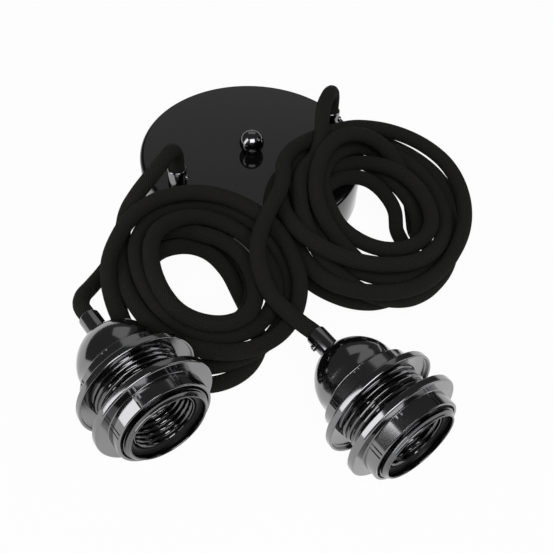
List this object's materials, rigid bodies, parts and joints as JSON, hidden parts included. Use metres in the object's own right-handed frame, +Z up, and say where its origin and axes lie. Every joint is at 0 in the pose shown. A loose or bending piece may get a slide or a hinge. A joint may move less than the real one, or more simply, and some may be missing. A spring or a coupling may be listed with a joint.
{
  "type": "pendant cord set",
  "caption": "Black pendant light cord set: round ceiling cup with ball nut and cord grips, coiled textile cords, and metal lamp holders with threaded shade rings.",
  "frame": {"origin": "on the surface the set lies on, under the middle of the box round its hard pieces", "axes": "+Z up from the surface; +Y from the lamp holders' mouths back towards the ceiling cup, along both holders' axes; +X across"},
  "size_m": [0.2353, 0.2468, 0.058],
  "materials": {
    "black_lacquer": "gloss black lacquer",
    "black_nickel": "polished black nickel plate",
    "zinc_steel": "zinc plated steel",
    "brass": "plain brass",
    "black_moulding": "matt black thermoset moulding",
    "white_moulding": "white nylon moulding",
    "black_textile": "black braided textile sleeve",
    "brown_wire": "brown wire insulation",
    "blue_wire": "blue wire insulation"
  },
  "bodies": {
    "root": {"ceiling_cup": "black_lacquer", "ceiling_strap": "zinc_steel", "centre_stud": "zinc_steel", "stud_nut": "zinc_steel", "ball_nut": "black_nickel", "terminal_block": "white_moulding", "terminal_block_screw_1": "brass", "terminal_block_screw_2": "brass", "terminal_block_screw_3": "brass", "terminal_block_screw_4": "brass", "cup_left_cord_grip": "black_nickel", "cup_left_grip_screw": "black_nickel", "cup_left_grip_nut": "zinc_steel", "cup_left_brown_wire": "brown_wire", "cup_left_blue_wire": "blue_wire", "cup_right_cord_grip": "black_nickel", "cup_right_grip_screw": "black_nickel", "cup_right_grip_nut": "zinc_steel", "cup_right_brown_wire": "brown_wire", "cup_right_blue_wire": "blue_wire", "holder_left_cord_grip": "black_nickel", "holder_left_grip_screw": "black_nickel", "holder_left_grip_nut": "zinc_steel", "holder_left_dome_cap": "black_nickel", "holder_left_body_shell": "black_nickel", "holder_left_upper_ring": "black_nickel", "holder_left_lower_ring": "black_nickel", "holder_left_lamp_insert": "black_moulding", "holder_left_lamp_thread": "black_nickel", "holder_left_centre_contact": "brass", "holder_left_side_contact": "brass", "holder_left_terminal_screw_a": "brass", "holder_left_terminal_screw_b": "brass", "holder_left_brown_wire": "brown_wire", "holder_left_blue_wire": "blue_wire", "holder_right_cord_grip": "black_nickel", "holder_right_grip_screw": "black_nickel", "holder_right_grip_nut": "zinc_steel", "holder_right_dome_cap": "black_nickel", "holder_right_body_shell": "black_nickel", "holder_right_upper_ring": "black_nickel", "holder_right_lower_ring": "black_nickel", "holder_right_lamp_insert": "black_moulding", "holder_right_lamp_thread": "black_nickel", "holder_right_centre_contact": "brass", "holder_right_side_contact": "brass", "holder_right_terminal_screw_a": "brass", "holder_right_terminal_screw_b": "brass", "holder_right_brown_wire": "brown_wire", "holder_right_blue_wire": "blue_wire", "cord_left_to_coil": "black_textile", "cord_left_coil": "black_textile", "cord_left_to_holder": "black_textile", "cord_right_to_coil": "black_textile", "cord_right_coil": "black_textile", "cord_right_to_holder": "black_textile"}
  },
  "joints": []
}
